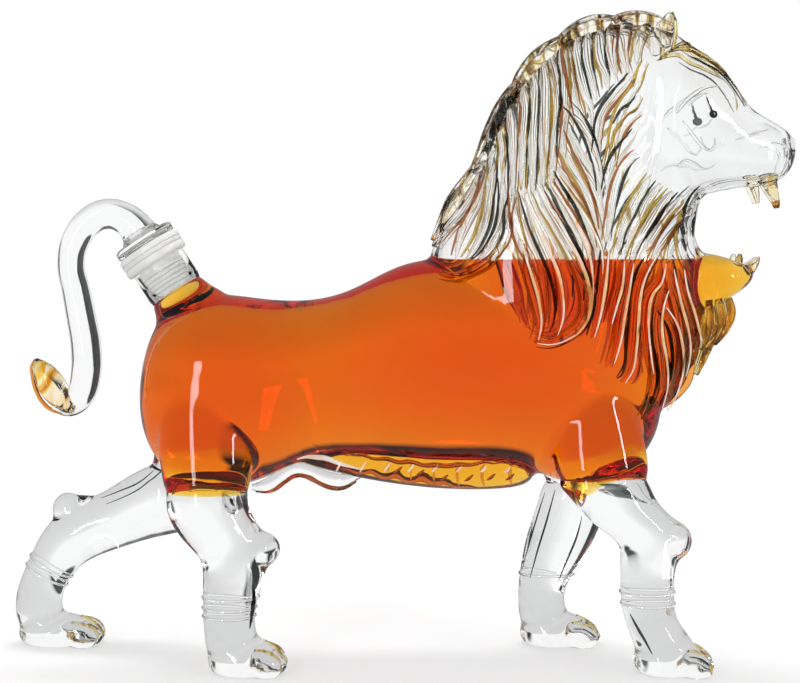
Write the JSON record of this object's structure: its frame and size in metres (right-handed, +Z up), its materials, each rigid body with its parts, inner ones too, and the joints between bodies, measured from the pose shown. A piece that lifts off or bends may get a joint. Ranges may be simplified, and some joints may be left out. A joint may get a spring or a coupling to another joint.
{
  "type": "figural liquor decanter",
  "caption": "Walking lion blown in clear glass and filled with amber liquor, whose tail is the stopper, with a leaning neck on the rump.",
  "frame": {"origin": "middle of the bounding box, on the surface the paws stand on", "axes": "+X from tail to head along the lion, +Y to the lion's left, +Z up"},
  "size_m": [0.3358, 0.0876, 0.2764],
  "materials": {
    "clear_glass": "clear flame-worked glass",
    "mane_glass": "clear glass strands, fire polished",
    "leg_glass": "solid clear glass",
    "liquor": "amber liquor, clear and still",
    "pupil_enamel": "fired black enamel dot",
    "fang_glass": "clear glass with amber tips",
    "amber_glass": "amber glass",
    "seal_plastic": "frosted translucent plastic"
  },
  "bodies": {
    "decanter": {"body_shell": "clear_glass", "pour_neck": "clear_glass", "head_shell": "clear_glass", "lower_jaw": "clear_glass", "beard": "mane_glass", "forelock": "mane_glass", "mane_crest": "mane_glass", "belly_fringe": "clear_glass", "belly_fold": "clear_glass", "nose_pad": "clear_glass", "mane_sweep_near": "mane_glass", "mane_sweep_far": "mane_glass", "mane_fall_near": "mane_glass", "mane_fall_far": "mane_glass", "mane_cheek_near": "mane_glass", "mane_cheek_far": "mane_glass", "mane_chest_near": "mane_glass", "mane_chest_far": "mane_glass", "hind_near_thigh": "leg_glass", "hind_near_shank": "leg_glass", "hind_near_paw": "leg_glass", "hind_far_thigh": "leg_glass", "hind_far_shank": "leg_glass", "hind_far_paw": "leg_glass", "fore_near_thigh": "leg_glass", "fore_near_shank": "leg_glass", "fore_near_paw": "leg_glass", "fore_far_thigh": "leg_glass", "fore_far_shank": "leg_glass", "fore_far_paw": "leg_glass", "ear_near": "mane_glass", "ear_far": "mane_glass", "eyelid_near": "mane_glass", "eyelid_far": "mane_glass", "liquor": "liquor", "jaw_liquor": "liquor", "pupil_near": "pupil_enamel", "pupil_far": "pupil_enamel", "upper_fangs": "fang_glass", "lower_fangs": "fang_glass"},
    "stopper_seal": {"seal_sleeve": "seal_plastic"},
    "tail_stopper": {"stopper_stem": "clear_glass", "stopper_flange": "clear_glass", "tail_rod": "clear_glass", "tail_tuft": "amber_glass"}
  },
  "joints": [
    {"name": "stopper_pull", "type": "slide", "parent": "decanter", "child": "stopper_seal", "axis": [-0.541, 0, 0.841], "range_m": [0, 0.05]},
    {"name": "tail_turn", "type": "hinge", "parent": "stopper_seal", "child": "tail_stopper", "pos_m": [-0.10133, 0, 0.16542], "axis": [-0.541, 0, 0.841], "continuous": true}
  ]
}
